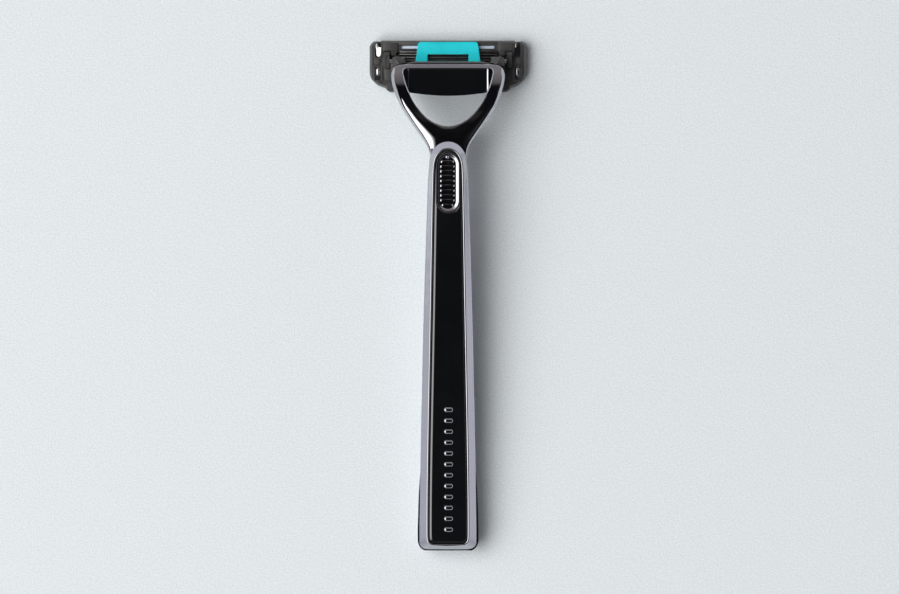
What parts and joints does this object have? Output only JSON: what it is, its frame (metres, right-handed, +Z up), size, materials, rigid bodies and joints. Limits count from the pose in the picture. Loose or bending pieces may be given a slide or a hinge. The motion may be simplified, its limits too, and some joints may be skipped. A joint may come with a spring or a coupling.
{
  "type": "cartridge razor",
  "caption": "Shaving razor with a polished metal handle, forked neck, inlay, push button and a pivoting blade unit held on by magnets.",
  "frame": {"origin": "centre of the bounding box in X and Y, on the surface the razor lies on, face down", "axes": "+X across the blade unit, +Y from the butt of the handle to the blade unit's cap edge, +Z up from the surface to the back of the razor"},
  "size_m": [0.0418, 0.1359, 0.0168],
  "materials": {
    "gunmetal": "polished dark plating over die-cast metal",
    "inlay_gloss": "high gloss black",
    "dark_plastic": "fine moulded texture",
    "turquoise_elastomer": "satin moulded elastomer",
    "steel": "bright rolled steel",
    "blade_steel": "ground stainless steel",
    "magnet": "nickel plated",
    "acetal": "natural moulded",
    "pale_strip": "waxy",
    "guard_rubber": "matte"
  },
  "bodies": {
    "handle": {"handle_chassis": "gunmetal", "top_frame": "gunmetal", "inlay_panel": "inlay_gloss", "frame_screw_front": "steel", "frame_screw_rear": "steel", "bridge_plate": "inlay_gloss", "bay_cover": "gunmetal", "cover_screw_rear": "steel", "cover_screw_front": "steel", "button_spring": "steel"},
    "button": {"release_button": "gunmetal", "button_plunger": "acetal", "cam_pin": "steel"},
    "release": {"release_fork": "steel", "magnet_left": "magnet", "magnet_right": "magnet"},
    "dock": {"docking_yoke": "dark_plastic", "keeper_left": "steel", "keeper_right": "steel", "pivot_pin_left": "steel", "pivot_pin_right": "steel", "return_tongue": "turquoise_elastomer"},
    "blade_unit": {"cartridge_frame": "dark_plastic", "blade_1": "blade_steel", "blade_2": "blade_steel", "blade_3": "blade_steel", "blade_4": "blade_steel", "blade_5": "blade_steel", "clip_left": "steel", "clip_right": "steel", "lubricating_strip": "pale_strip", "guard_strip": "guard_rubber"}
  },
  "joints": [
    {"name": "button_press", "type": "slide", "parent": "handle", "child": "button", "axis": [0, 0, -1], "range_m": [0, 0.0012], "stiffness_N_per_m": 250, "springref_m": -0.0008, "deforming": ["button_spring"]},
    {"name": "magnet_retract", "type": "slide", "parent": "handle", "child": "release", "axis": [0, -1, 0], "range_m": [0, 0.0014]},
    {"name": "head_release", "type": "slide", "parent": "handle", "child": "dock", "axis": [0, 1, 0], "range_m": [0, 0.02]},
    {"name": "blade_pivot", "type": "hinge", "parent": "dock", "child": "blade_unit", "pos_m": [0, 0.0624, 0.0049], "axis": [1, 0, 0], "range_deg": [0, 35], "stiffness_Nm_per_rad": 0.004, "springref_deg": -5.73, "deforming": ["return_tongue"]}
  ],
  "couplings": [
    {"joint": "magnet_retract", "follows": "button_press", "ratio": 1.1666}
  ]
}
